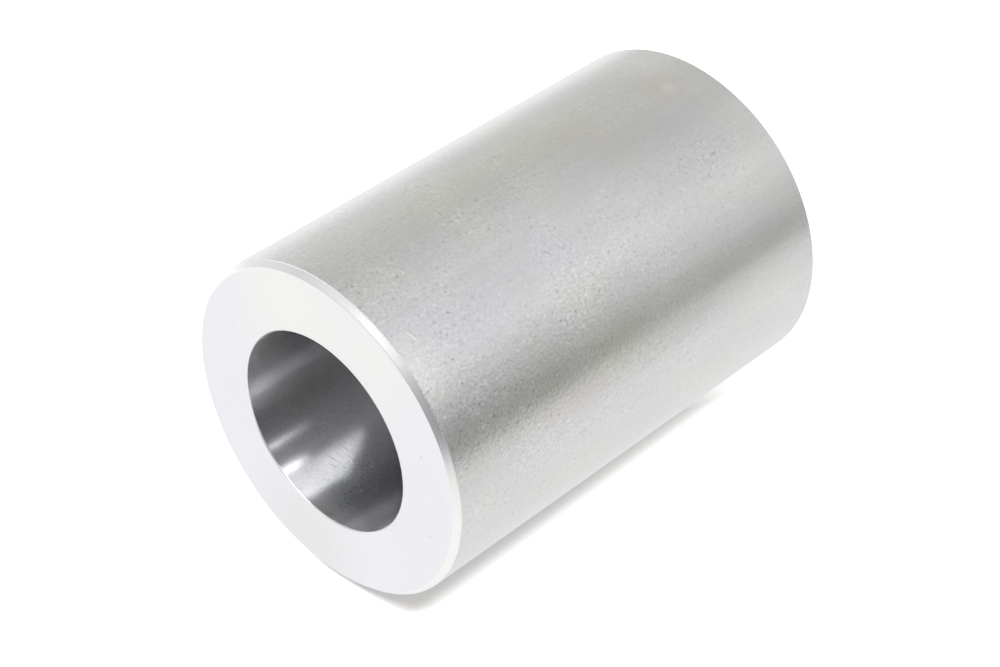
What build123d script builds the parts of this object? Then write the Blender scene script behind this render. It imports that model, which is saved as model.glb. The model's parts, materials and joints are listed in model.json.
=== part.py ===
from build123d import *

import os

# Plain cylindrical steel bushing, turned and bored from one piece.
#
# Millimetres, +Z up. The bushing stands on its rear face: the origin is the
# centre of that face, and +Z runs along the bore to the front face.

# Driving dimensions
outer_diameter = 30.0
wall = 6.0  # leaves a bore for an 18 mm shaft
length = 44.0
rim_chamfer = 0.5  # each leg of the 45 degree chamfer round both outer rims
rim_corner_radius = 0.15  # corner where a rim chamfer runs out onto the outside
mouth_break = 0.15  # each leg of the edge break round both bore mouths

# Worked-out dimension
bore_diameter = outer_diameter - 2 * wall

# Bushing: the half-section of the wall, turned about the bore's axis
with BuildPart() as bushing:
    with BuildSketch(Plane.XZ) as half_section:
        with Locations((bore_diameter / 2, 0)):
            Rectangle(wall, length, align=(Align.MIN, Align.MIN))
        mouth_corners = half_section.vertices().group_by(Axis.X)[0]
        rim_corners = half_section.vertices().group_by(Axis.X)[-1]
        chamfer(mouth_corners, length=mouth_break)
        chamfer(rim_corners, length=rim_chamfer)
        run_out_corners = half_section.vertices().group_by(Axis.X)[-1]
        fillet(run_out_corners, radius=rim_corner_radius)
    revolve(axis=Axis.Z)

bushing.part.label = "bushing"

os.makedirs("parts", exist_ok=True)
export_step(bushing.part, "parts/bushing.step")
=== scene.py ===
import json
import math

import bpy
from mathutils import Matrix, Vector


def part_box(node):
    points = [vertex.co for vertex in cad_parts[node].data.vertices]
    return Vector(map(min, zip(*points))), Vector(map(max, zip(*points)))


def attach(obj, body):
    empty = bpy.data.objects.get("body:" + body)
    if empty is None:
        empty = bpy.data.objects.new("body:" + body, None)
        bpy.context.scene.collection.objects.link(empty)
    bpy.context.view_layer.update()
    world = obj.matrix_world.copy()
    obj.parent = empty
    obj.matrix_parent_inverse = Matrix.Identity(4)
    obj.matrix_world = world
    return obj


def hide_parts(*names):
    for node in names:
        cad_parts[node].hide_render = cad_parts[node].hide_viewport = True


# A plain steel sleeve bushing, turned and bored from one piece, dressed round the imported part.
# Metres. +Z runs along the bore from the rear face to the front face. The bushing lies on its
# side under the camera: "up" from the floor is -Y, so the floor is the plane that touches it at +Y.

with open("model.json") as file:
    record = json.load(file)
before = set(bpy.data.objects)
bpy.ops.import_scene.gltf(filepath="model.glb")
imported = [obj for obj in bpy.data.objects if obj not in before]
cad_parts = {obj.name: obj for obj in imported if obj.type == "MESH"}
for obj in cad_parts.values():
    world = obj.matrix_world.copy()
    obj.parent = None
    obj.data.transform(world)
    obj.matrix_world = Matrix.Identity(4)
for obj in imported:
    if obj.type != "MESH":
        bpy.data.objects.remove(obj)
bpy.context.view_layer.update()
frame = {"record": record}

MM = 0.001

# Sizes of the bushing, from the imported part
mounts = {mount["name"]: mount for mount in frame["record"]["mounts"]}
part_low, part_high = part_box("bushing")
LENGTH = part_high.z - part_low.z
OUTSIDE_RADIUS = mounts["outside"]["dims"]["r_mm"] * MM
BORE_RADIUS = mounts["bore"]["dims"]["r_mm"] * MM

# Edge forms that the mounts don't state. The mouth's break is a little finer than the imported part's.
RIM_CHAMFER = 0.5 * MM
MOUTH_BREAK = 0.10 * MM
RIM_ROUNDING = 0.15 * MM
MOUTH_ROUNDING = 0.03 * MM

# Directions for the bushing as it lies. Seen from the front, SIDE points to the left.
UP = Vector((0, -1, 0))
SIDE = Vector((1, 0, 0))
FRONT = Vector((0, 0, 1))


def clock_direction(clock_deg, from_axis_deg):
    """Unit vector: clock_deg round the bore from straight up, from_axis_deg away from the front."""
    clock, away = math.radians(clock_deg), math.radians(from_axis_deg)
    around = UP * math.cos(clock) + SIDE * math.sin(clock)
    return FRONT * math.cos(away) + around * math.sin(away)


# Node helpers


def add_node(tree, kind, inputs=None, **settings):
    """Adds a node, sets its properties, and sets or links its inputs by name or index."""
    node = tree.nodes.new(kind)
    for name, value in settings.items():
        setattr(node, name, value)
    for key, value in (inputs or {}).items():
        if isinstance(value, bpy.types.NodeSocket):
            tree.links.new(value, node.inputs[key])
        else:
            node.inputs[key].default_value = value
    return node


def math_node(tree, operation, *values):
    return add_node(tree, "ShaderNodeMath", dict(enumerate(values)), operation=operation).outputs[0]


def smooth_range(tree, value, low, high, to_low=0.0, to_high=1.0):
    """Maps low..high to to_low..to_high along a smooth step."""
    ends = {"Value": value, "From Min": low, "From Max": high, "To Min": to_low, "To Max": to_high}
    return add_node(tree, "ShaderNodeMapRange", ends, interpolation_type="SMOOTHSTEP").outputs["Result"]


def vector_node(tree, operation, *values):
    """Vector maths: gives the number of a length or a dot product, and otherwise the vector."""
    node = add_node(tree, "ShaderNodeVectorMath", dict(enumerate(values)), operation=operation)
    return node.outputs["Value" if operation in ("LENGTH", "DOT_PRODUCT") else "Vector"]


def mix_value(tree, factor, first, second):
    return add_node(tree, "ShaderNodeMix", {0: factor, 2: first, 3: second}, data_type="FLOAT").outputs[0]


def mix_colour(tree, factor, first, second, blend="MIX"):
    inputs = {0: factor, 6: first, 7: second}
    return add_node(tree, "ShaderNodeMix", inputs, data_type="RGBA", blend_type=blend).outputs[2]


def multiply_colours(tree, first, second):
    return mix_colour(tree, 1.0, first, second, "MULTIPLY")


def grey_level(tree, value):
    return add_node(tree, "ShaderNodeCombineColor", {0: value, 1: value, 2: value}).outputs[0]


def use_group(tree, group, inputs=None):
    return add_node(tree, "ShaderNodeGroup", inputs, node_tree=group).outputs


def new_group(name, inputs, outputs, kind="ShaderNodeTree"):
    """A node group with named sockets: inputs is {name: (socket type, default)}."""
    tree = bpy.data.node_groups.new(name, kind)
    for socket_name, (socket_type, default) in inputs.items():
        socket = tree.interface.new_socket(socket_name, in_out="INPUT", socket_type=socket_type)
        if default is not None:
            socket.default_value = default
    for socket_name, socket_type in outputs.items():
        tree.interface.new_socket(socket_name, in_out="OUTPUT", socket_type=socket_type)
    given = tree.nodes.new("NodeGroupInput")
    result = tree.nodes.new("NodeGroupOutput")
    return tree, given.outputs, result.inputs


def distance_from_axis(tree, place):
    return vector_node(tree, "LENGTH", vector_node(tree, "MULTIPLY", place, (1, 1, 0)))


# Kinds of sockets
FLOAT = "NodeSocketFloat"
INTEGER = "NodeSocketInt"
VECTOR = "NodeSocketVector"
COLOUR = "NodeSocketColor"
MATERIAL = "NodeSocketMaterial"
GEOMETRY = "NodeSocketGeometry"

WHITE = (1, 1, 1, 1)

# Shifts of a noise, in metres, that make a second one of it
SPECKLE_SHIFT = (0.31, 0.17, 0.23)
HUE_SHIFT = (0.05, 0.02, 0.07)

# The two greys that the steel's tint runs between
COOL_GREY = (0.974, 0.967, 1.0, 1)
WARM_GREY = (1.0, 0.998, 0.960, 1)


# Shared finish groups


def make_round_coordinates():
    """Object coordinates of a turned part: distance from the axis, height, and share of a turn."""
    tree, _, result = new_group("round_coordinates", {}, {"Radius": FLOAT, "Along": FLOAT, "Turn": FLOAT})
    place = add_node(tree, "ShaderNodeTexCoord").outputs["Object"]
    axes = add_node(tree, "ShaderNodeSeparateXYZ", {0: place})
    angle = math_node(tree, "ARCTAN2", axes.outputs["Y"], axes.outputs["X"])
    tree.links.new(distance_from_axis(tree, place), result["Radius"])
    tree.links.new(axes.outputs["Z"], result["Along"])
    tree.links.new(math_node(tree, "DIVIDE", angle, 2 * math.pi), result["Turn"])
    return tree


def make_steel_grain():
    """Fine even grain: a height for bump, and a speckle round 1 with darker and lighter dots in it."""
    inputs = {"Grain Size": (FLOAT, 0.2 * MM), "Stretch": (FLOAT, 1.0), "Dots": (FLOAT, 0.3)}
    tree, given, result = new_group("steel_grain", inputs, {"Height": FLOAT, "Speckle": FLOAT})
    place = add_node(tree, "ShaderNodeTexCoord").outputs["Object"]
    shape = add_node(tree, "ShaderNodeCombineXYZ", {0: 1.0, 1: 1.0})
    tree.links.new(math_node(tree, "DIVIDE", 1.0, given["Stretch"]), shape.inputs[2])
    stretched = vector_node(tree, "MULTIPLY", place, shape.outputs[0])
    frequency = math_node(tree, "DIVIDE", 1.0, given["Grain Size"])
    noise = {"Vector": stretched, "Scale": frequency, "Detail": 1.0, "Roughness": 0.5}
    grain = add_node(tree, "ShaderNodeTexNoise", noise)
    shifted = vector_node(tree, "ADD", stretched, SPECKLE_SHIFT)
    noise = {"Vector": shifted, "Scale": frequency, "Detail": 2.0, "Roughness": 0.6}
    speckle = add_node(tree, "ShaderNodeTexNoise", noise).outputs["Fac"]
    dark_dots = smooth_range(tree, speckle, 0.37, 0.25, 0.0, -1.3)
    light_dots = smooth_range(tree, speckle, 0.64, 0.76)
    dots = math_node(tree, "MULTIPLY", math_node(tree, "ADD", dark_dots, light_dots), given["Dots"])
    even = math_node(tree, "ADD", speckle, 0.5)
    tree.links.new(grain.outputs["Fac"], result["Height"])
    tree.links.new(math_node(tree, "ADD", even, dots), result["Speckle"])
    return tree


def make_tool_lines():
    """Fine lines left by a tool, from the place across them in metres: a height and uneven streaks."""
    inputs = {"Across": (FLOAT, 0.0), "Pitch": (FLOAT, 0.25 * MM), "Unevenness": (FLOAT, 0.5)}
    tree, given, result = new_group("tool_lines", inputs, {"Height": FLOAT, "Streaks": FLOAT})
    lines = math_node(tree, "DIVIDE", given["Across"], given["Pitch"])
    wave = math_node(tree, "SINE", math_node(tree, "MULTIPLY", lines, 2 * math.pi))
    noise = {"W": lines, "Scale": 0.37, "Detail": 3.0}
    streaks = add_node(tree, "ShaderNodeTexNoise", noise, noise_dimensions="1D").outputs["Fac"]
    swell = math_node(tree, "MULTIPLY", math_node(tree, "SUBTRACT", streaks, 0.5), given["Unevenness"])
    tree.links.new(math_node(tree, "MULTIPLY_ADD", wave, 0.5, swell), result["Height"])
    tree.links.new(streaks, result["Streaks"])
    return tree


def make_tone_drift():
    """Slow changes of tone over the metal, and of tint between a cool and a warm grey."""
    inputs = {"Patch Size": (FLOAT, 8 * MM), "Amount": (FLOAT, 0.04), "Tint": (FLOAT, 0.5)}
    tree, given, result = new_group("tone_drift", inputs, {"Colour": COLOUR, "Level": FLOAT})
    place = add_node(tree, "ShaderNodeTexCoord").outputs["Object"]
    frequency = math_node(tree, "DIVIDE", 1.0, given["Patch Size"])
    noise = {"Vector": place, "Scale": frequency, "Detail": 2.0}
    level = add_node(tree, "ShaderNodeTexNoise", noise).outputs["Fac"]
    shifted = vector_node(tree, "ADD", place, HUE_SHIFT)
    noise = {"Vector": shifted, "Scale": frequency, "Detail": 1.0}
    hue = add_node(tree, "ShaderNodeTexNoise", noise).outputs["Fac"]
    tint = mix_colour(tree, smooth_range(tree, hue, 0.35, 0.65), COOL_GREY, WARM_GREY)
    swing = math_node(tree, "SUBTRACT", level, 0.5)
    shade = math_node(tree, "MULTIPLY_ADD", swing, given["Amount"], 1.0)
    drift = mix_colour(tree, given["Tint"], WHITE, tint)
    tree.links.new(multiply_colours(tree, drift, grey_level(tree, shade)), result["Colour"])
    tree.links.new(level, result["Level"])
    return tree


def make_placed_mark():
    """One mark at a stated place: 1 inside a turned ellipsoid, fading to 0 over the soft share of it."""
    inputs = {
        "Centre": (VECTOR, (0, 0, 0)),
        "Turn": (VECTOR, (0, 0, 0)),
        "Half Size": (VECTOR, (MM, MM, MM)),
        "Softness": (FLOAT, 0.5),
    }
    tree, given, result = new_group("placed_mark", inputs, {"Mask": FLOAT})
    place = add_node(tree, "ShaderNodeTexCoord").outputs["Object"]
    spot = {"Location": given["Centre"], "Rotation": given["Turn"], "Scale": given["Half Size"]}
    local = add_node(tree, "ShaderNodeMapping", {"Vector": place, **spot}, vector_type="TEXTURE")
    reach = vector_node(tree, "LENGTH", local.outputs[0])
    firm = math_node(tree, "SUBTRACT", 1.0, given["Softness"])
    tree.links.new(smooth_range(tree, reach, 1.0, firm), result["Mask"])
    return tree


ROUND_COORDINATES = make_round_coordinates()
STEEL_GRAIN = make_steel_grain()
TOOL_LINES = make_tool_lines()
TONE_DRIFT = make_tone_drift()
PLACED_MARK = make_placed_mark()


# Materials of the bushing


def new_steel(name, anisotropic=0.0, rotation=0.0):
    """A bare metal material: returns it, its tree and its Principled BSDF."""
    material = bpy.data.materials.new(name)
    material.use_nodes = True
    tree = material.node_tree
    shader = tree.nodes["Principled BSDF"]
    shader.inputs["Metallic"].default_value = 1.0
    shader.inputs["Anisotropic"].default_value = anisotropic
    shader.inputs["Anisotropic Rotation"].default_value = rotation
    return material, tree, shader


def bump(tree, height, depth, normal=None):
    inputs = {"Height": height, "Distance": depth, "Strength": 1.0}
    if normal is not None:
        inputs["Normal"] = normal
    return add_node(tree, "ShaderNodeBump", inputs).outputs["Normal"]


def speckled(tree, colour, speckle, strength):
    """Lightens and darkens a colour by the speckle, which runs round 1."""
    share = math_node(tree, "MULTIPLY_ADD", math_node(tree, "SUBTRACT", speckle, 1.0), strength, 1.0)
    return multiply_colours(tree, colour, grey_level(tree, share))


def lay_mark(tree, colour, spot, strength, tone):
    """Multiplies a colour by a tone inside one placed mark."""
    share = math_node(tree, "MULTIPLY", use_group(tree, PLACED_MARK, spot)["Mask"], strength)
    return mix_colour(tree, share, colour, (*tone, 1), "MULTIPLY")


def wall_spot(radius, clock, from_front, across, along, lean, softness):
    """Where a mark lies on a round wall: clock in degrees, mm from the front face, half sizes in mm
    across and along, lean in degrees, and softness. These are the six values of a spot."""
    outward = clock_direction(clock, 90)
    along_axis = Matrix.Rotation(math.radians(lean), 3, outward) @ FRONT
    across_axis = along_axis.cross(outward)
    turn = Matrix((across_axis, along_axis, outward)).transposed().to_euler()
    return {
        "Centre": outward * radius + FRONT * (LENGTH - from_front * MM),
        "Turn": tuple(turn),
        "Half Size": (across * MM, along * MM, max(1.0, 3 * across) * MM),
        "Softness": softness,
    }


def wall_marks(tree, colour, radius, marks):
    """Lays marks on a round wall. A mark: the six values of its spot, the strength and the tone."""
    for *place, strength, tone in marks:
        colour = lay_mark(tree, colour, wall_spot(radius, *place), strength, tone)
    return colour


def wall_mask(tree, radius, places, mask=0.0):
    """Adds the masks of several spots on a round wall to the mask that it is given."""
    for place in places:
        spot_mask = use_group(tree, PLACED_MARK, wall_spot(radius, *place))["Mask"]
        mask = math_node(tree, "ADD", spot_mask, mask)
    return mask


def end_marks(tree, colour, marks):
    """Lays round marks on the front face. A mark: clock in degrees, mm from the axis, radius in mm,
    softness, strength and tone."""
    for clock, from_axis, size, softness, strength, tone in marks:
        centre = clock_direction(clock, 90) * from_axis * MM + FRONT * LENGTH
        spot = {"Centre": centre, "Half Size": (size * MM, size * MM, size * MM), "Softness": softness}
        colour = lay_mark(tree, colour, spot, strength, tone)
    return colour


# Tones of the marks: each multiplies the metal's own colour
WARM = (1.0, 0.998, 0.93)
COOL = (0.97, 0.962, 1.0)
PINK = (1.05, 0.975, 0.95)
MOSS = (0.96, 0.985, 0.93)
SEA = (0.90, 0.97, 0.94)
# This tone is painted shade on darker places of the bore wall
PAINTED_SHADE_WARM = (0.87, 0.875, 0.835)
DARK = (0.5, 0.5, 0.48)
LIGHT = (1.5, 1.5, 1.5)
# The next two tones are painted light and painted shade: they lighten and darken places to stand in for
# brighter and darker reflections
PAINTED_LIGHTER = (1.13, 1.13, 1.13)
PAINTED_DARKER = (0.89, 0.89, 0.885)
IVORY = (1.028, 1.047, 0.964)
# This tone is painted shade: the bottom of the front face darkened, standing in for the shadowed floor that
# it mirrors
PAINTED_FLOOR_SHADE = (0.930, 0.936, 0.918)

# On the front face: two paler places, painted shade at the bottom where the face mirrors the shadowed floor,
# and four pits
END_MARKS = [
    (18, 12.0, 9.0, 1.0, 1.0, IVORY),
    (-30, 12.0, 7.0, 1.0, 0.55, IVORY),
    (168, 12.5, 9.0, 1.0, 1.0, PAINTED_FLOOR_SHADE),
    (-106.3, 12.48, 0.08, 0.6, 0.85, DARK),
    (-85.8, 13.21, 0.07, 0.6, 0.8, DARK),
    (-69.8, 11.94, 0.09, 0.6, 0.9, DARK),
    (59.6, 11.49, 0.08, 0.6, 0.8, DARK),
]

# On the outside: broad tints first, then painted light and painted shade in paler and darker places, a
# scratch and draw marks
OUTSIDE_MARKS = [
    (4, 22, 5.5, 48, 0, 1.0, 0.90, WARM),
    (-68, 18, 3.8, 32, 0, 1.0, 1.0, WARM),
    (-31, 12, 4.2, 26, 0, 1.0, 1.0, COOL),
    (-77, 13.5, 1.7, 6.0, 0, 1.0, 0.8, PINK),
    (-1.3, 28.0, 1.5, 2.0, 0, 1.0, 0.9, PINK),
    (-7.1, 29.8, 1.3, 1.6, 0, 1.0, 0.8, PINK),
    (-3.0, 38.8, 2.8, 3.0, 0, 1.0, 1.0, PINK),
    (-5.2, 39.3, 0.9, 1.0, 0, 1.0, 0.9, PAINTED_LIGHTER),
    (-12.7, 31.3, 1.4, 1.8, 0, 1.0, 0.6, MOSS),
    (-30, 35, 4.5, 9.0, 0, 1.0, 0.8, COOL),
    (-42, 6, 3.4, 9.0, 0, 1.0, 1.0, COOL),
    # Painted shade, then painted light: darker and lighter places that stand in for reflections
    (-17, 33, 4.2, 16, 0, 1.0, 1.0, PAINTED_DARKER),
    (-34, 37, 6.5, 20, 0, 1.0, 0.8, PAINTED_DARKER),
    (-77, 26, 2.0, 14, 0, 1.0, 0.8, PAINTED_DARKER),
    (-60, 27, 3.6, 26, 0, 1.0, 1.0, PAINTED_LIGHTER),
    (-36, 2.0, 3.0, 4.0, 0, 1.0, 0.7, PAINTED_LIGHTER),
    (-48, 0.5, 5.5, 3.5, 0, 1.0, 0.9, PAINTED_LIGHTER),
    (9, 42, 4.5, 6, 0, 1.0, 0.7, PAINTED_LIGHTER),
    (-32.2, 2.42, 0.05, 0.78, -72, 0.6, 0.9, LIGHT),
    (-31.6, 2.62, 0.04, 0.55, -72, 0.6, 0.5, DARK),
    (3.0, 4.4, 0.10, 1.1, 3, 1.0, 0.35, DARK),
    (3.4, 8.4, 0.12, 0.9, 4, 1.0, 0.30, DARK),
    (2.0, 1.4, 0.08, 0.8, -4, 1.0, 0.25, DARK),
]

# Spots where the outside's grain is coarser
OUTSIDE_COARSE_PLACES = [
    (-60, 8, 6.5, 15, 0, 1.0),
    (-48, 20, 4.5, 13, 0, 1.0),
    (-33, 37, 4.0, 6, 0, 1.0),
]

# Spot where the corner of the front rim's chamfer is darkened: painted shade that dims a lamp's glint
RIM_GLINT_SHADE_PLACES = [(-36, 0.5, 12, 4, 0, 0.6)]

# Spots where the bore's feed lines show plainly
BORE_LINED_PLACES = [
    (92, 2.5, 3.2, 5.0, 0, 1.0),
    (152, 4.0, 1.6, 4.0, 0, 1.0),
]

# Spots where the bore's grain is scuffed
BORE_SCUFFED_PLACES = [
    (166, 5.5, 3.2, 4.5, 0, 1.0),
    (180, 3.5, 2.6, 3.5, 0, 1.0),
]

# In the bore: dark scores round it, light nicks, then painted light, tints, painted shade and more painted
# light
BORE_MARKS = [
    (150.5, 6.1, 0.9, 0.05, -14, 0.6, 0.6, DARK),
    (153.0, 4.6, 1.1, 0.05, -20, 0.6, 0.7, DARK),
    (156.0, 4.2, 0.8, 0.045, -26, 0.6, 0.65, DARK),
    (152.0, 5.3, 0.7, 0.045, -12, 0.6, 0.5, DARK),
    (155.0, 3.1, 0.6, 0.03, -30, 0.6, 0.4, DARK),
    (149.0, 7.3, 0.6, 0.03, -10, 0.6, 0.5, DARK),
    (160.2, 5.7, 0.5, 0.07, 24, 0.6, 0.6, LIGHT),
    (166.0, 5.5, 0.6, 0.07, -38, 0.6, 0.6, LIGHT),
    (172.8, 5.4, 0.4, 0.07, 12, 0.6, 0.5, LIGHT),
    (168.6, 6.8, 0.5, 0.07, -20, 0.6, 0.6, LIGHT),
    (184.0, 5.1, 0.7, 0.07, 34, 0.6, 0.5, LIGHT),
    (165.7, 4.1, 0.5, 0.07, 42, 0.6, 0.5, LIGHT),
    (177.1, 4.1, 0.6, 0.07, -30, 0.6, 0.5, LIGHT),
    # Painted light, tints, painted shade, then painted light again: the wall is lightened or darkened where
    # it mirrors more or less light
    (152.0, 6.0, 1.8, 3.6, 0, 1.0, 1.0, PAINTED_LIGHTER),
    (165.0, 3.8, 1.7, 3.2, 0, 1.0, 0.9, SEA),
    (177.0, 2.4, 2.2, 2.8, 0, 1.0, 0.7, SEA),
    (113.0, 5.5, 2.6, 7.0, 0, 1.0, 1.0, PAINTED_SHADE_WARM),
    (67.0, 3.0, 2.8, 4.2, 0, 0.7, 1.0, PAINTED_SHADE_WARM),
    (97.0, 1.0, 2.0, 3.2, 0, 1.0, 0.75, LIGHT),
    (178.0, 0.0, 3.5, 4.0, 0, 1.0, 1.0, LIGHT),
]


# Base colours of the steel, as each tool leaves it
DRAWN_METAL = (0.67, 0.67, 0.667, 1)
FACED_METAL = (0.868, 0.862, 0.898, 1)
TURNED_METAL = (0.90, 0.902, 0.905, 1)
BORED_METAL = (0.63, 0.625, 0.648, 1)
# Share of the colour kept on the darkened rim corner: painted shade over a glint
CORNER_SHADE_SHARE = (0.47, 0.47, 0.47, 1)

FEED_PITCH = 0.23 * MM


def make_outside_steel():
    """Bright drawn outside: satin, finely speckled, with faint marks along its length."""
    material, tree, shader = new_steel("steel_drawn_outside")
    place = use_group(tree, ROUND_COORDINATES)
    grain = use_group(tree, STEEL_GRAIN, {"Grain Size": 0.27 * MM, "Stretch": 1.1, "Dots": 0.32})
    drift = use_group(tree, TONE_DRIFT, {"Patch Size": 7 * MM, "Amount": 0.12, "Tint": 0.35})
    streaks = use_group(tree, STEEL_GRAIN, {"Grain Size": 0.45 * MM, "Stretch": 30.0, "Dots": 0.0})
    base = multiply_colours(tree, DRAWN_METAL, drift["Colour"])
    marked = wall_marks(tree, base, OUTSIDE_RADIUS, OUTSIDE_MARKS)
    to_front = smooth_range(tree, place["Along"], 0.0, LENGTH)
    patchy = smooth_range(tree, drift["Level"], 0.38, 0.62, 0.55, 1.25)
    depth = math_node(tree, "MULTIPLY", math_node(tree, "MULTIPLY_ADD", to_front, 0.26, 0.18), patchy)
    coarse = wall_mask(tree, OUTSIDE_RADIUS, OUTSIDE_COARSE_PLACES)
    depth = math_node(tree, "MULTIPLY_ADD", coarse, 0.26, depth)
    speckles = speckled(tree, marked, grain["Speckle"], depth)
    tree.links.new(speckled(tree, speckles, streaks["Speckle"], 0.10), shader.inputs["Base Color"])
    tree.links.new(math_node(tree, "MULTIPLY_ADD", drift["Level"], 0.06, 0.25), shader.inputs["Roughness"])
    along = bump(tree, streaks["Height"], 0.003 * MM)
    roughened = math_node(tree, "MULTIPLY_ADD", to_front, 0.009 * MM, 0.006 * MM)
    tree.links.new(bump(tree, grain["Height"], roughened, along), shader.inputs["Normal"])
    return material


def make_end_steel():
    """Faced end: bright, with very fine rings round the bore and a few pits."""
    material, tree, shader = new_steel("steel_faced_end")
    place = use_group(tree, ROUND_COORDINATES)
    rings = use_group(tree, TOOL_LINES, {"Across": place["Radius"], "Pitch": 0.12 * MM, "Unevenness": 1.0})
    grain = use_group(tree, STEEL_GRAIN, {"Grain Size": 0.3 * MM, "Dots": 0.1})
    drift = use_group(tree, TONE_DRIFT, {"Patch Size": 12 * MM, "Amount": 0.03, "Tint": 0.3})
    base = multiply_colours(tree, FACED_METAL, drift["Colour"])
    marked = end_marks(tree, base, END_MARKS)
    tree.links.new(speckled(tree, marked, grain["Speckle"], 0.05), shader.inputs["Base Color"])
    rough = math_node(tree, "MULTIPLY_ADD", rings["Streaks"], 0.05, 0.265)
    tree.links.new(rough, shader.inputs["Roughness"])
    ringed = bump(tree, rings["Height"], 0.00012 * MM)
    tree.links.new(bump(tree, grain["Height"], 0.004 * MM, ringed), shader.inputs["Normal"])
    return material


def make_chamfer_steel():
    """Turned chamfers and edge breaks: as bright as the ends, with fine turning lines, rougher corners, and
    painted shade on the rim's corner that dims a lamp's glint.
    """
    material, tree, shader = new_steel("steel_turned_chamfer")
    place = use_group(tree, ROUND_COORDINATES)
    lines = use_group(tree, TOOL_LINES, {"Across": place["Along"], "Pitch": 0.11 * MM, "Unevenness": 1.0})
    drift = use_group(tree, TONE_DRIFT, {"Patch Size": 5 * MM, "Amount": 0.08, "Tint": 0.7})
    corner = smooth_range(tree, place["Radius"], OUTSIDE_RADIUS - 0.07 * MM, OUTSIDE_RADIUS - 0.03 * MM)
    base = multiply_colours(tree, TURNED_METAL, drift["Colour"])
    # Painted shade: inside that spot the rim's corner is darkened to dim a lamp's glint
    shade_painted_corner = math_node(tree, "MULTIPLY", corner, wall_mask(tree, OUTSIDE_RADIUS, RIM_GLINT_SHADE_PLACES))
    corner_shade_painted = mix_colour(tree, shade_painted_corner, base, CORNER_SHADE_SHARE, "MULTIPLY")
    tree.links.new(corner_shade_painted, shader.inputs["Base Color"])
    turned = math_node(tree, "MULTIPLY_ADD", lines["Streaks"], 0.12, 0.24)
    tree.links.new(math_node(tree, "MULTIPLY_ADD", corner, 0.35, turned), shader.inputs["Roughness"])
    tree.links.new(bump(tree, lines["Height"], 0.0010 * MM), shader.inputs["Normal"])
    return material


def make_bore_steel():
    """Bored wall: broken feed lines round it, one pitch apart, that spread light lengthwise."""
    material, tree, shader = new_steel("steel_bored_wall", anisotropic=1.0, rotation=0.25)
    place = use_group(tree, ROUND_COORDINATES)
    helix = math_node(tree, "MULTIPLY_ADD", place["Turn"], FEED_PITCH, place["Along"])
    lines = use_group(tree, TOOL_LINES, {"Across": helix, "Pitch": FEED_PITCH, "Unevenness": 0.8})
    grain = use_group(tree, STEEL_GRAIN, {"Grain Size": 0.26 * MM, "Dots": 0.3})
    drift = use_group(tree, TONE_DRIFT, {"Patch Size": 6 * MM, "Amount": 0.10, "Tint": 0.3})
    breaks = use_group(tree, TONE_DRIFT, {"Patch Size": 1.8 * MM})
    base = multiply_colours(tree, BORED_METAL, drift["Colour"])
    # Painted light near both mouths and painted shade deeper in: the wall is lightened towards the ends and
    # darkened further in
    from_middle = math_node(tree, "ABSOLUTE", math_node(tree, "SUBTRACT", place["Along"], LENGTH / 2))
    mouth_light_depth_shade = smooth_range(tree, from_middle, LENGTH / 2 - 10 * MM, LENGTH / 2, -0.15, 0.10)
    mouth_lit_depth_shaded = multiply_colours(tree, base, grey_level(tree, math_node(tree, "ADD", mouth_light_depth_shade, 1.0)))
    marked = wall_marks(tree, mouth_lit_depth_shaded, BORE_RADIUS, BORE_MARKS)
    scuffed = wall_mask(tree, BORE_RADIUS, BORE_SCUFFED_PLACES)
    depth = math_node(tree, "MULTIPLY_ADD", scuffed, 0.4, 0.30)
    tree.links.new(speckled(tree, marked, grain["Speckle"], depth), shader.inputs["Base Color"])
    rough = math_node(tree, "MULTIPLY_ADD", lines["Streaks"], 0.06, 0.28)
    tree.links.new(rough, shader.inputs["Roughness"])
    broken = smooth_range(tree, breaks["Level"], 0.42, 0.62, 0.02, 0.30)
    kept = wall_mask(tree, BORE_RADIUS, BORE_LINED_PLACES, broken)
    lined = bump(tree, math_node(tree, "MULTIPLY", lines["Height"], kept), 0.009 * MM)
    roughened = math_node(tree, "MULTIPLY_ADD", scuffed, 0.006 * MM, 0.0015 * MM)
    tree.links.new(bump(tree, grain["Height"], roughened, lined), shader.inputs["Normal"])
    return material


# The bushing: its half-section swept round the bore's axis


END_TILT = 0.97  # a face whose normal lies more along the bore than this is an end
WALL_TILT = 0.25  # a face whose normal lies less along the bore than this is a wall
ROUNDING_STEPS = 4
STEPS_ROUND = 360
FIRST_STEP_DEG = (3, 8)  # a rounding's first step turns by an angle between these


def compare(tree, value, operation, limit):
    return add_node(tree, "FunctionNodeCompare", {0: value, 1: limit}, operation=operation).outputs[0]


def both(tree, first, second):
    return add_node(tree, "FunctionNodeBooleanMath", {0: first, 1: second}).outputs[0]


def cut_corners(tree, curve, steps, size):
    inputs = {"Curve": curve, "Count": steps, "Radius": size}
    return add_node(tree, "GeometryNodeFilletCurve", inputs, mode="POLY").outputs[0]


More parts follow.
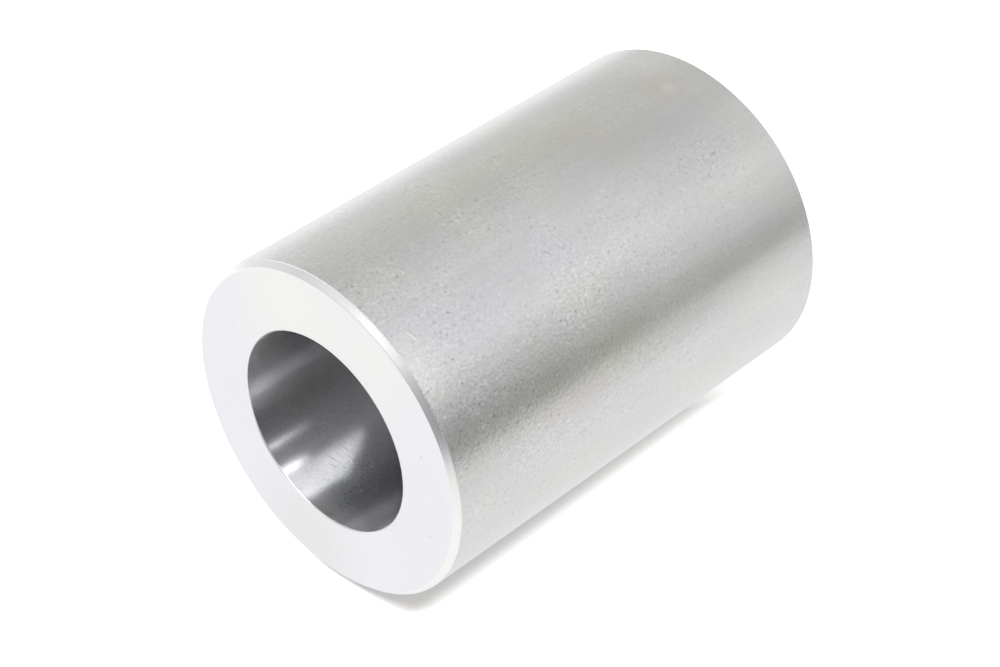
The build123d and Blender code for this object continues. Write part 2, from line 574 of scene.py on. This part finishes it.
def make_lathe_tree():
    """Geometry nodes that turn the chamfered half-section into the closed sleeve."""
    inputs = {
        "Outside Radius": (FLOAT, 15 * MM),
        "Bore Radius": (FLOAT, 9 * MM),
        "Length": (FLOAT, 44 * MM),
        "Rim Chamfer": (FLOAT, RIM_CHAMFER),
        "Mouth Break": (FLOAT, MOUTH_BREAK),
        "Rim Rounding": (FLOAT, RIM_ROUNDING),
        "Mouth Rounding": (FLOAT, MOUTH_ROUNDING),
        "Steps Round": (INTEGER, STEPS_ROUND),
        "Outside": (MATERIAL, None),
        "End": (MATERIAL, None),
        "Chamfer": (MATERIAL, None),
        "Bore": (MATERIAL, None),
    }
    tree, given, result = new_group("bushing_lathe", inputs, {"Geometry": GEOMETRY}, "GeometryNodeTree")

    # The half-section, drawn about the middle of the wall
    wall = math_node(tree, "SUBTRACT", given["Outside Radius"], given["Bore Radius"])
    middle = math_node(tree, "MULTIPLY_ADD", wall, 0.5, given["Bore Radius"])
    sides = {"Width": wall, "Height": given["Length"]}
    section = add_node(tree, "GeometryNodeCurvePrimitiveQuadrilateral", sides).outputs[0]
    section_place = add_node(tree, "GeometryNodeInputPosition").outputs[0]
    section_axes = add_node(tree, "ShaderNodeSeparateXYZ", {0: section_place})
    at_rim = compare(tree, section_axes.outputs["X"], "GREATER_THAN", 0.0)

    def by_edge(rim_size, mouth_size):
        sizes = {"Switch": at_rim, "False": mouth_size, "True": rim_size}
        return add_node(tree, "GeometryNodeSwitch", sizes, input_type="FLOAT").outputs[0]

    chamfers = by_edge(given["Rim Chamfer"], given["Mouth Break"])
    chamfered = cut_corners(tree, section, 1, chamfers)
    roundings = by_edge(given["Rim Rounding"], given["Mouth Rounding"])
    rounded = cut_corners(tree, chamfered, ROUNDING_STEPS, roundings)

    # The sweep, lifted so that the rear face stands at the origin
    circle = {"Resolution": given["Steps Round"], "Radius": middle}
    path = add_node(tree, "GeometryNodeCurvePrimitiveCircle", circle).outputs[0]
    curves = {"Curve": path, "Profile Curve": rounded}
    swept = add_node(tree, "GeometryNodeCurveToMesh", curves).outputs[0]
    lift = add_node(tree, "ShaderNodeCombineXYZ", {2: math_node(tree, "MULTIPLY", given["Length"], 0.5)})
    lifted = {"Geometry": swept, "Translation": lift.outputs[0]}
    standing = add_node(tree, "GeometryNodeTransform", lifted).outputs[0]

    # A flat run keeps its own normals up to the first step of a rounding
    edge_angle = add_node(tree, "GeometryNodeInputMeshEdgeAngle").outputs["Unsigned Angle"]
    over = compare(tree, edge_angle, "GREATER_THAN", math.radians(FIRST_STEP_DEG[0]))
    under = compare(tree, edge_angle, "LESS_THAN", math.radians(FIRST_STEP_DEG[1]))
    sharp = {"Geometry": standing, "Selection": both(tree, over, under), "Shade Smooth": False}
    shaded = add_node(tree, "GeometryNodeSetShadeSmooth", sharp, domain="EDGE").outputs[0]

    # Which finish a face takes follows from where it faces and how far it is from the axis
    facing = add_node(tree, "GeometryNodeInputNormal").outputs[0]
    facing_axes = add_node(tree, "ShaderNodeSeparateXYZ", {0: facing})
    tilt = math_node(tree, "ABSOLUTE", facing_axes.outputs["Z"])
    place = add_node(tree, "GeometryNodeInputPosition").outputs[0]
    is_end = compare(tree, tilt, "GREATER_THAN", END_TILT)
    is_wall = compare(tree, tilt, "LESS_THAN", WALL_TILT)
    is_inside = compare(tree, distance_from_axis(tree, place), "LESS_THAN", middle)
    is_bore = both(tree, is_wall, is_inside)

    dressed = add_node(tree, "GeometryNodeRealizeInstances", {"Geometry": shaded}).outputs[0]
    for selection, finish in ((None, "Chamfer"), (is_wall, "Outside"), (is_bore, "Bore"), (is_end, "End")):
        chosen = {"Geometry": dressed, "Material": given[finish]}
        if selection is not None:
            chosen["Selection"] = selection
        dressed = add_node(tree, "GeometryNodeSetMaterial", chosen).outputs[0]
    tree.links.new(dressed, result["Geometry"])
    return tree


def turned_mesh(name, values):
    """Runs the lathe tree with these values and returns the plain mesh that it makes."""
    tree = make_lathe_tree()
    blank = bpy.data.objects.new(name + "_blank", bpy.data.meshes.new(name + "_blank"))
    bpy.context.scene.collection.objects.link(blank)
    modifier = blank.modifiers.new("lathe", "NODES")
    modifier.node_group = tree
    for item in tree.interface.items_tree:
        if item.in_out == "INPUT" and item.name in values:
            modifier[item.identifier] = values[item.name]
    graph = bpy.context.evaluated_depsgraph_get()
    mesh = bpy.data.meshes.new_from_object(blank.evaluated_get(graph))
    mesh.name = name
    bpy.data.objects.remove(blank)
    return mesh


def make_bushing():
    mesh = turned_mesh(
        "bushing_turned",
        {
            "Outside Radius": OUTSIDE_RADIUS,
            "Bore Radius": BORE_RADIUS,
            "Length": LENGTH,
            "Rim Chamfer": RIM_CHAMFER,
            "Mouth Break": MOUTH_BREAK,
            "Rim Rounding": RIM_ROUNDING,
            "Mouth Rounding": MOUTH_ROUNDING,
            "Steps Round": STEPS_ROUND,
            "Outside": make_outside_steel(),
            "End": make_end_steel(),
            "Chamfer": make_chamfer_steel(),
            "Bore": make_bore_steel(),
        },
    )
    piece = bpy.data.objects.new("bushing_turned", mesh)
    bpy.context.scene.collection.objects.link(piece)
    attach(piece, "root")
    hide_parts("bushing")


# Stage: white floor under the bushing's side, and a soft light tent

FLOOR_REACH = 1.5
FLOOR_EDGE = -0.10  # where the white sheet ends, to the right of the bushing
FLOOR_PAPER = (0.86, 0.85, 0.835, 1)

# Where the lift to plain white begins and is full, in metres from the contact line and along it
LIFT_RIGHT = (-6.7 * MM, -9.8 * MM)
LIFT_LEFT = (0.0, 4.0 * MM)
LIFT_REAR = (11.0 * MM, -1.0 * MM)
LIFT_FRONT = (LENGTH, LENGTH + 3.0 * MM)
SHADOW_NARROWING = 0.022  # sideways shift of the right end, for each metre forwards

# Strength of that lift beside the contact, and what full lift adds to it
LIFT_LEAST = 0.10
LIFT_MORE = 0.55


def make_floor():
    """White floor: it keeps the bushing's shadow near it, and lights the metal like a pale table."""
    height, reach, edge = OUTSIDE_RADIUS, FLOOR_REACH, FLOOR_EDGE
    mesh = bpy.data.meshes.new("floor")
    points = [(edge, height, -reach), (reach, height, -reach), (reach, height, reach), (edge, height, reach)]
    mesh.from_pydata(points, [], [(0, 1, 2, 3)])
    floor = bpy.data.objects.new("floor", mesh)
    bpy.context.scene.collection.objects.link(floor)

    material = bpy.data.materials.new("floor_white")
    material.use_nodes = True
    tree = material.node_tree
    tree.nodes.clear()
    rays = add_node(tree, "ShaderNodeLightPath").outputs
    place = add_node(tree, "ShaderNodeTexCoord").outputs["Object"]
    matte = add_node(tree, "ShaderNodeBsdfDiffuse", {"Color": FLOOR_PAPER})
    # Close to the contact the white is left to the light; away from it, it is lifted to plain white
    axes = add_node(tree, "ShaderNodeSeparateXYZ", {0: place}).outputs
    sideways, along = axes["X"], axes["Z"]
    narrowing = math_node(tree, "MULTIPLY_ADD", along, SHADOW_NARROWING, sideways)
    away = smooth_range(tree, narrowing, *LIFT_RIGHT)
    for coordinate, ramp in ((sideways, LIFT_LEFT), (along, LIFT_REAR), (along, LIFT_FRONT)):
        away = math_node(tree, "MAXIMUM", away, smooth_range(tree, coordinate, *ramp))
    lifted = math_node(tree, "MULTIPLY_ADD", away, LIFT_MORE, LIFT_LEAST)
    lift = add_node(tree, "ShaderNodeEmission", {"Color": WHITE, "Strength": lifted})
    seen = add_node(tree, "ShaderNodeAddShader", {0: matte.outputs[0], 1: lift.outputs[0]})
    # What the metal mirrors: white paper, a little brighter towards the lamps on both sides
    left_near = smooth_range(tree, sideways, 0.035, 0.075, 0.0, 0.2)
    left_far = smooth_range(tree, sideways, 0.30, 0.08)
    right_far = smooth_range(tree, sideways, -0.065, -0.022, 0.92, 1.04)
    right_near = smooth_range(tree, sideways, -0.022, -0.008, 0.0, -0.03)
    right = math_node(tree, "ADD", right_far, right_near)
    glow = math_node(tree, "MULTIPLY_ADD", left_near, left_far, right)
    plain = add_node(tree, "ShaderNodeEmission", {"Color": WHITE, "Strength": glow})
    mirrored = math_node(tree, "MAXIMUM", rays["Is Glossy Ray"], rays["Is Transmission Ray"])
    front = add_node(tree, "ShaderNodeMixShader", {0: mirrored, 1: seen.outputs[0], 2: plain.outputs[0]})
    clear = add_node(tree, "ShaderNodeBsdfTransparent")
    behind = add_node(tree, "ShaderNodeNewGeometry").outputs["Backfacing"]
    sheet = add_node(tree, "ShaderNodeMixShader", {0: behind, 1: front.outputs[0], 2: clear.outputs[0]})
    out = add_node(tree, "ShaderNodeOutputMaterial")
    tree.links.new(sheet.outputs[0], out.inputs["Surface"])
    mesh.materials.append(material)


TENT_LEVEL = 0.51
GAP_LEVEL = 0.32
GAP_DARKENING = -0.28  # added to the gap's level beside the bushing

# Brighter panels of the tent: clock and degrees from the front, spread in degrees, added light
TENT_PANELS = [
    (-62, 122, 30, 0.31),
    (-25, 107, 55, 0.31),
    (40, 127, 28, 0.08),
    (20, 46, 38, 0.33),
]


def make_world():
    """Light tent: pale walls on both sides, a plain ceiling, and a dark gap low on the right."""
    world = bpy.data.worlds.new("light_tent")
    bpy.context.scene.world = world
    world.use_nodes = True
    tree = world.node_tree
    tree.nodes.clear()
    direction = add_node(tree, "ShaderNodeTexCoord").outputs["Generated"]

    def towards(vector):
        return vector_node(tree, "DOT_PRODUCT", direction, tuple(vector))

    side, up, front = towards(SIDE), towards(UP), towards(FRONT)
    left_wall = smooth_range(tree, side, 0.55, 0.95, 0.0, 0.31)
    rear_wall = smooth_range(tree, front, -0.25, -0.55, 0.0, 0.12)
    pale = math_node(tree, "ADD", rear_wall, math_node(tree, "ADD", left_wall, TENT_LEVEL))
    for clock_deg, from_axis_deg, spread_deg, added in TENT_PANELS:
        closeness = towards(clock_direction(clock_deg, from_axis_deg))
        panel = smooth_range(tree, closeness, math.cos(math.radians(spread_deg)), 1.0, 0.0, added)
        pale = math_node(tree, "ADD", panel, pale)

    # The dark gap, and how far it lies beside the bushing rather than before or behind it
    low = smooth_range(tree, up, 0.80, -0.05)
    right = smooth_range(tree, side, 0.0, -0.5)
    not_rear = smooth_range(tree, front, -0.74, -0.57)
    gap = math_node(tree, "MULTIPLY", math_node(tree, "MULTIPLY", low, right), not_rear)
    past_rear = smooth_range(tree, front, -0.35, -0.1)
    short_of_front = smooth_range(tree, front, 0.88, 0.6)
    beside = math_node(tree, "MULTIPLY", past_rear, short_of_front)
    gap_level = math_node(tree, "MULTIPLY_ADD", beside, GAP_DARKENING, GAP_LEVEL)
    tent = mix_value(tree, gap, pale, gap_level)
    rays = add_node(tree, "ShaderNodeLightPath").outputs
    seen = math_node(tree, "MAXIMUM", rays["Is Camera Ray"], rays["Is Transmission Ray"])
    strength = mix_value(tree, seen, tent, 1.0)
    background = add_node(tree, "ShaderNodeBackground", {"Color": WHITE, "Strength": strength})
    out = add_node(tree, "ShaderNodeOutputWorld")
    tree.links.new(background.outputs[0], out.inputs["Surface"])


LAMP_HEIGHT = 0.6


def overhead_place(sideways, forwards):
    """A point over the front mouth, given as shares of the lamp height to the side and the front."""
    return Vector((0, 0, LENGTH)) + (UP + SIDE * sideways + FRONT * forwards) * LAMP_HEIGHT


def make_softbox(name, shape, centre, aim, along, size, radiance):
    """A flat lamp at centre, facing aim: its width, and its length along a direction, in metres."""
    width, length = size
    lamp = bpy.data.lights.new(name, "AREA")
    lamp.shape = shape
    lamp.size, lamp.size_y = width, length
    area = width * length * (math.pi / 4 if shape == "ELLIPSE" else 1.0)
    lamp.energy = radiance * math.pi * area
    holder = bpy.data.objects.new(name, lamp)
    bpy.context.scene.collection.objects.link(holder)
    back = (centre - aim).normalized()
    long_side = (along - along.dot(back) * back).normalized()
    short_side = long_side.cross(back)
    turn = Matrix((short_side, long_side, back)).transposed()
    holder.matrix_world = Matrix.Translation(centre) @ turn.to_4x4()
    holder.visible_camera = False


def make_lamps():
    mouth = Vector((0, 0, LENGTH))

    # Overhead strip in front of the mouth, skewed in plan: one broad bright patch in the bore
    right_end, left_end = overhead_place(-0.45, 0.549), overhead_place(0.10, 0.277)
    centre = (right_end + left_end) / 2
    run = left_end - right_end
    size = 0.05 * LAMP_HEIGHT, run.length
    make_softbox("front_strip", "RECTANGLE", centre, centre - UP, run, size, 92.0)

    # Small lamp nearly straight overhead on the right: the brightest corner of that patch
    centre = overhead_place(-0.58, 0.145)
    size = 0.14 * LAMP_HEIGHT, 0.13 * LAMP_HEIGHT
    make_softbox("right_lamp", "RECTANGLE", centre, mouth, FRONT, size, 52.0)

    # Thin strip further right: one fine bright line in the bore
    centre = mouth + clock_direction(-57, 80) * LAMP_HEIGHT
    size = 0.009 * LAMP_HEIGHT, 0.24 * LAMP_HEIGHT
    make_softbox("right_strip", "ELLIPSE", centre, mouth, FRONT, size, 165.0)

    # Front softbox above the camera, for the rim chamfer
    centre = mouth + clock_direction(-12, 37) * LAMP_HEIGHT
    size = 0.35 * LAMP_HEIGHT, 0.60 * LAMP_HEIGHT
    make_softbox("front_fill", "RECTANGLE", centre, mouth, SIDE, size, 0.33)


# Camera, at the photograph's viewing angle

CAMERA_LENS_MM = 90.7
SENSOR_MM = 36.0
CAMERA_PLACE = Vector((-115.95, -128.90, 144.65)) * MM
CAMERA_HEADING_DEG = -46.22  # from SIDE towards FRONT, in the floor's plane
CAMERA_DIP_DEG = 37.87  # below that plane


def make_camera():
    heading, dip = math.radians(CAMERA_HEADING_DEG), math.radians(CAMERA_DIP_DEG)
    level = SIDE * math.cos(heading) + FRONT * math.sin(heading)
    forward = level * math.cos(dip) - UP * math.sin(dip)
    right = forward.cross(UP).normalized()
    camera = bpy.data.objects.new("camera", bpy.data.cameras.new("camera"))
    camera.data.sensor_fit = "HORIZONTAL"
    camera.data.sensor_width = SENSOR_MM
    camera.data.lens = CAMERA_LENS_MM
    camera.data.clip_start, camera.data.clip_end = 0.01, 10.0
    turn = Matrix((right, right.cross(forward), -forward)).transposed()
    camera.matrix_world = Matrix.Translation(CAMERA_PLACE) @ turn.to_4x4()
    bpy.context.scene.collection.objects.link(camera)
    bpy.context.scene.camera = camera


make_bushing()
make_floor()
make_world()
make_lamps()
make_camera()
bpy.context.scene.view_settings.view_transform = "Standard"
